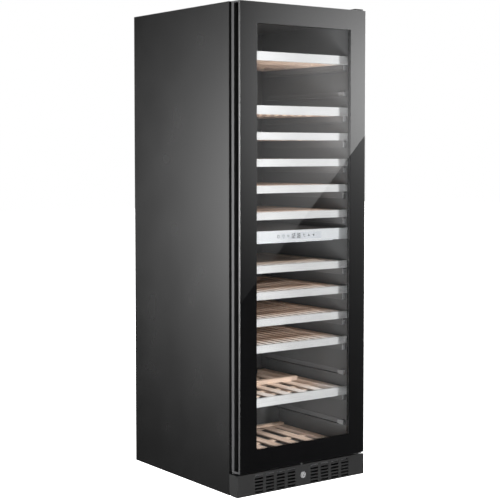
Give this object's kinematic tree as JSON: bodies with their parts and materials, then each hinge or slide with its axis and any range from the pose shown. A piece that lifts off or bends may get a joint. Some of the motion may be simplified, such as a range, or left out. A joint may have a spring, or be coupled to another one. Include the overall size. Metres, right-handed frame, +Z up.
{
  "type": "wine cooler",
  "caption": "Tall black wine cooler with a full-height glass door hinged at the right, eleven beech pull-out shelves, a control strip across the middle and a slotted kick plate with a lock.",
  "frame": {"origin": "on the floor, under the middle of the cooler's width and depth", "axes": "+Z up, +X to the right as seen from the front, -Y out of the glass door"},
  "size_m": [0.595, 0.705, 1.7755],
  "materials": {
    "case_paint": "satin black powder coat",
    "zinc_steel": "dull coated sheet",
    "hinge_steel": "black coated plate",
    "liner_plastic": "fine matt moulding",
    "foam": "closed-cell foam",
    "silver_plastic": "silver paint",
    "touch_glass": "printed touch film",
    "light_diffuser": "opal cover",
    "rail_steel": "grey coated steel",
    "beech": "planed, unvarnished",
    "evaporator_metal": "plain rolled",
    "fan_plastic": "moulded",
    "compressor_paint": "black enamel",
    "gland_plastic": "moulded",
    "lock_metal": "satin chrome",
    "bolt_steel": "plain steel",
    "foot_plastic": "moulded",
    "door_glass": "clear, black printed border",
    "clear_spacer": "clear, slightly grey",
    "frame_plastic": "black moulding",
    "grip_metal": "brushed lips, black channel",
    "seal_rubber": "soft black",
    "trim_steel": "brushed along its length"
  },
  "bodies": {
    "cabinet": {"side_panel_left": "case_paint", "side_panel_right": "case_paint", "top_panel": "case_paint", "kick_plate": "case_paint", "rear_panel": "zinc_steel", "machine_cover": "zinc_steel", "base_frame": "zinc_steel", "top_hinge": "hinge_steel", "bottom_hinge": "hinge_steel", "inner_liner": "liner_plastic", "air_ducts": "liner_plastic", "zone_divider": "liner_plastic", "insulation": "foam", "control_fascia": "silver_plastic", "rail_end_caps": "silver_plastic", "touch_panel": "touch_glass", "led_strips": "light_diffuser", "shelf_rails": "rail_steel", "floor_rack": "beech", "evaporators": "evaporator_metal", "condenser": "evaporator_metal", "compressor": "compressor_paint", "cord_gland": "gland_plastic", "lock_housing": "lock_metal", "rear_feet": "foot_plastic"},
    "door": {"outer_glass": "door_glass", "inner_panes": "door_glass", "glass_spacers": "clear_spacer", "door_frame": "frame_plastic", "door_grip": "grip_metal", "door_gasket": "seal_rubber"},
    "upper_fan": {"upper_fan": "fan_plastic"},
    "lower_fan": {"lower_fan": "fan_plastic"},
    "condenser_fan": {"condenser_fan": "fan_plastic"},
    "lock_barrel": {"lock_barrel": "lock_metal"},
    "lock_bolt": {"lock_bolt": "bolt_steel"},
    "front_foot_left": {"front_foot_left": "foot_plastic"},
    "front_foot_right": {"front_foot_right": "foot_plastic"},
    "shelf_01": {"shelf_01_wood": "beech", "shelf_01_trim": "trim_steel"},
    "shelf_02": {"shelf_02_wood": "beech", "shelf_02_trim": "trim_steel"},
    "shelf_03": {"shelf_03_wood": "beech", "shelf_03_trim": "trim_steel"},
    "shelf_04": {"shelf_04_wood": "beech", "shelf_04_trim": "trim_steel"},
    "shelf_05": {"shelf_05_wood": "beech", "shelf_05_trim": "trim_steel"},
    "shelf_06": {"shelf_06_wood": "beech", "shelf_06_trim": "trim_steel"},
    "shelf_07": {"shelf_07_wood": "beech", "shelf_07_trim": "trim_steel"},
    "shelf_08": {"shelf_08_wood": "beech", "shelf_08_trim": "trim_steel"},
    "shelf_09": {"shelf_09_wood": "beech", "shelf_09_trim": "trim_steel"},
    "shelf_10": {"shelf_10_wood": "beech", "shelf_10_trim": "trim_steel"},
    "shelf_11": {"shelf_11_wood": "beech", "shelf_11_trim": "trim_steel"}
  },
  "joints": [
    {"name": "door_hinge", "type": "hinge", "parent": "cabinet", "child": "door", "pos_m": [0.2803, -0.3165, 0.93], "axis": [0, 0, 1], "range_deg": [0, 115]},
    {"name": "upper_fan_spin", "type": "hinge", "parent": "cabinet", "child": "upper_fan", "pos_m": [0, 0.2515, 1.4549], "axis": [0, 1, 0], "continuous": true},
    {"name": "lower_fan_spin", "type": "hinge", "parent": "cabinet", "child": "lower_fan", "pos_m": [0, 0.2515, 0.70294], "axis": [0, 1, 0], "continuous": true},
    {"name": "condenser_fan_spin", "type": "hinge", "parent": "cabinet", "child": "condenser_fan", "pos_m": [0.12, 0.2375, 0.1022], "axis": [0, 1, 0], "continuous": true},
    {"name": "lock_turn", "type": "hinge", "parent": "cabinet", "child": "lock_barrel", "pos_m": [0, -0.3425, 0.0524], "axis": [0, -1, 0], "range_deg": [0, 90]},
    {"name": "lock_bolt_rise", "type": "slide", "parent": "cabinet", "child": "lock_bolt", "axis": [0, 0, 1], "range_m": [0, 0.0081]},
    {"name": "front_foot_left_height", "type": "slide", "parent": "cabinet", "child": "front_foot_left", "axis": [0, 0, -1], "range_m": [0, 0.015]},
    {"name": "front_foot_right_height", "type": "slide", "parent": "cabinet", "child": "front_foot_right", "axis": [0, 0, -1], "range_m": [0, 0.015]},
    {"name": "shelf_01_slide", "type": "slide", "parent": "cabinet", "child": "shelf_01", "axis": [0, -1, 0], "range_m": [0, 0.0365]},
    {"name": "shelf_02_slide", "type": "slide", "parent": "cabinet", "child": "shelf_02", "axis": [0, -1, 0], "range_m": [0, 0.0365]},
    {"name": "shelf_03_slide", "type": "slide", "parent": "cabinet", "child": "shelf_03", "axis": [0, -1, 0], "range_m": [0, 0.0365]},
    {"name": "shelf_04_slide", "type": "slide", "parent": "cabinet", "child": "shelf_04", "axis": [0, -1, 0], "range_m": [0, 0.0365]},
    {"name": "shelf_05_slide", "type": "slide", "parent": "cabinet", "child": "shelf_05", "axis": [0, -1, 0], "range_m": [0, 0.0365]},
    {"name": "shelf_06_slide", "type": "slide", "parent": "cabinet", "child": "shelf_06", "axis": [0, -1, 0], "range_m": [0, 0.0365]},
    {"name": "shelf_07_slide", "type": "slide", "parent": "cabinet", "child": "shelf_07", "axis": [0, -1, 0], "range_m": [0, 0.0365]},
    {"name": "shelf_08_slide", "type": "slide", "parent": "cabinet", "child": "shelf_08", "axis": [0, -1, 0], "range_m": [0, 0.0365]},
    {"name": "shelf_09_slide", "type": "slide", "parent": "cabinet", "child": "shelf_09", "axis": [0, -1, 0], "range_m": [0, 0.0365]},
    {"name": "shelf_10_slide", "type": "slide", "parent": "cabinet", "child": "shelf_10", "axis": [0, -1, 0], "range_m": [0, 0.0365]},
    {"name": "shelf_11_slide", "type": "slide", "parent": "cabinet", "child": "shelf_11", "axis": [0, -1, 0], "range_m": [0, 0.0365]}
  ],
  "couplings": [
    {"joint": "lock_bolt_rise", "follows": "lock_turn", "m_per_rad": 0.0050929},
    {"joint": "shelf_01_slide", "follows": "door_hinge", "m_per_rad": 0.018},
    {"joint": "shelf_02_slide", "follows": "door_hinge", "m_per_rad": 0.018},
    {"joint": "shelf_03_slide", "follows": "door_hinge", "m_per_rad": 0.018},
    {"joint": "shelf_04_slide", "follows": "door_hinge", "m_per_rad": 0.018},
    {"joint": "shelf_05_slide", "follows": "door_hinge", "m_per_rad": 0.018},
    {"joint": "shelf_06_slide", "follows": "door_hinge", "m_per_rad": 0.018},
    {"joint": "shelf_07_slide", "follows": "door_hinge", "m_per_rad": 0.018},
    {"joint": "shelf_08_slide", "follows": "door_hinge", "m_per_rad": 0.018},
    {"joint": "shelf_09_slide", "follows": "door_hinge", "m_per_rad": 0.018},
    {"joint": "shelf_10_slide", "follows": "door_hinge", "m_per_rad": 0.018},
    {"joint": "shelf_11_slide", "follows": "door_hinge", "m_per_rad": 0.018}
  ]
}
